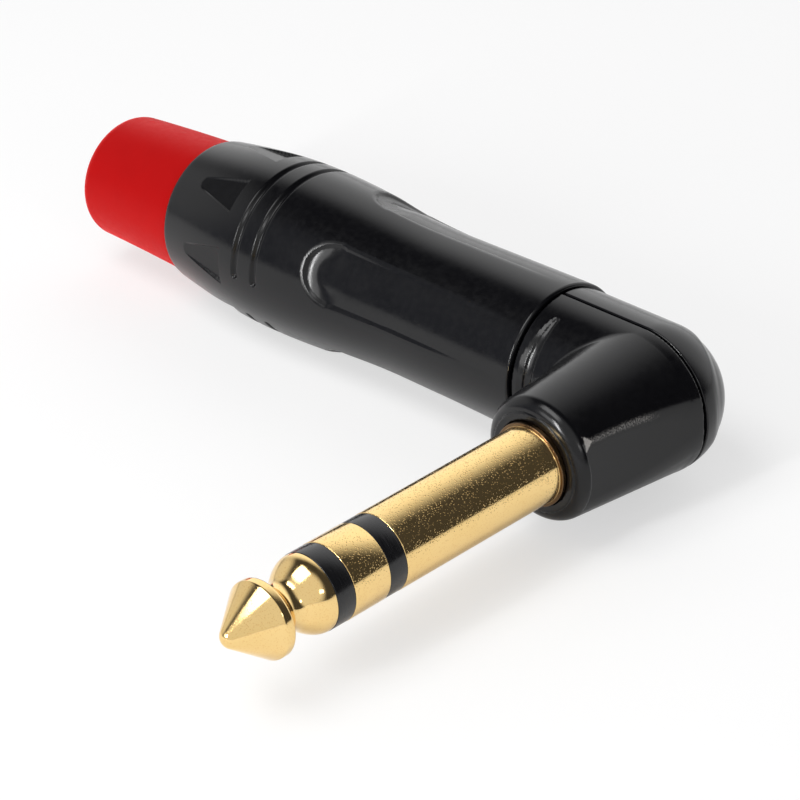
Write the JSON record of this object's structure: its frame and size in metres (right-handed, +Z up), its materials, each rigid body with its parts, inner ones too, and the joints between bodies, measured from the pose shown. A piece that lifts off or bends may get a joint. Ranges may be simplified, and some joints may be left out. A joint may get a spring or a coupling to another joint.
{
  "type": "right-angle jack plug",
  "caption": "Right-angle stereo jack plug: gold-plated finger with black bands, black screwed elbow and barrel, red cable boot.",
  "frame": {"origin": "centre of the shoulder of the plug's finger, where it meets a socket", "axes": "-Y along the finger towards its point, -X along the barrel towards the boot, +Z up"},
  "size_m": [0.0668, 0.0519, 0.0144],
  "materials": {
    "black_metal": "satin black plated die-cast metal",
    "gold_plate": "polished gold plate",
    "black_band": "gloss",
    "red_boot": "matte moulded",
    "white_nylon": "moulded nylon",
    "lining_film": "pressed fibre film",
    "tinned_brass": "bright tinned",
    "fibre": "pressed fibre",
    "plain_brass": "turned",
    "steel": "plain"
  },
  "bodies": {
    "elbow": {"elbow_shell": "black_metal", "lug_shield": "lining_film", "plug_sleeve": "gold_plate", "ring_insulator": "black_band", "plug_ring": "gold_plate", "tip_insulator": "black_band", "plug_tip": "gold_plate", "ground_lug": "tinned_brass", "lock_washer": "steel", "sleeve_nut": "plain_brass", "front_washer": "fibre", "ring_lug": "tinned_brass", "rear_washer": "fibre", "tip_lug": "tinned_brass", "rivet_washer": "steel"},
    "gland": {"boot": "red_boot", "chuck": "white_nylon", "thrust_ring": "steel"},
    "barrel": {"barrel": "black_metal", "barrel_lining": "lining_film"},
    "cover": {"elbow_cover": "black_metal", "cover_lining": "lining_film"}
  },
  "joints": [
    {"name": "gland_travel", "type": "slide", "parent": "elbow", "child": "gland", "axis": [-1, 0, 0], "range_m": [0, 0.0061]},
    {"name": "barrel_turn", "type": "hinge", "parent": "gland", "child": "barrel", "pos_m": [-0.03, 0.0132, 0], "axis": [-1, 0, 0], "range_deg": [0, 2160]},
    {"name": "cover_pull", "type": "slide", "parent": "elbow", "child": "cover", "axis": [0, 1, 0], "range_m": [0, 0.012]}
  ],
  "couplings": [
    {"joint": "gland_travel", "follows": "barrel_turn", "m_per_rad": 0.00015915}
  ]
}
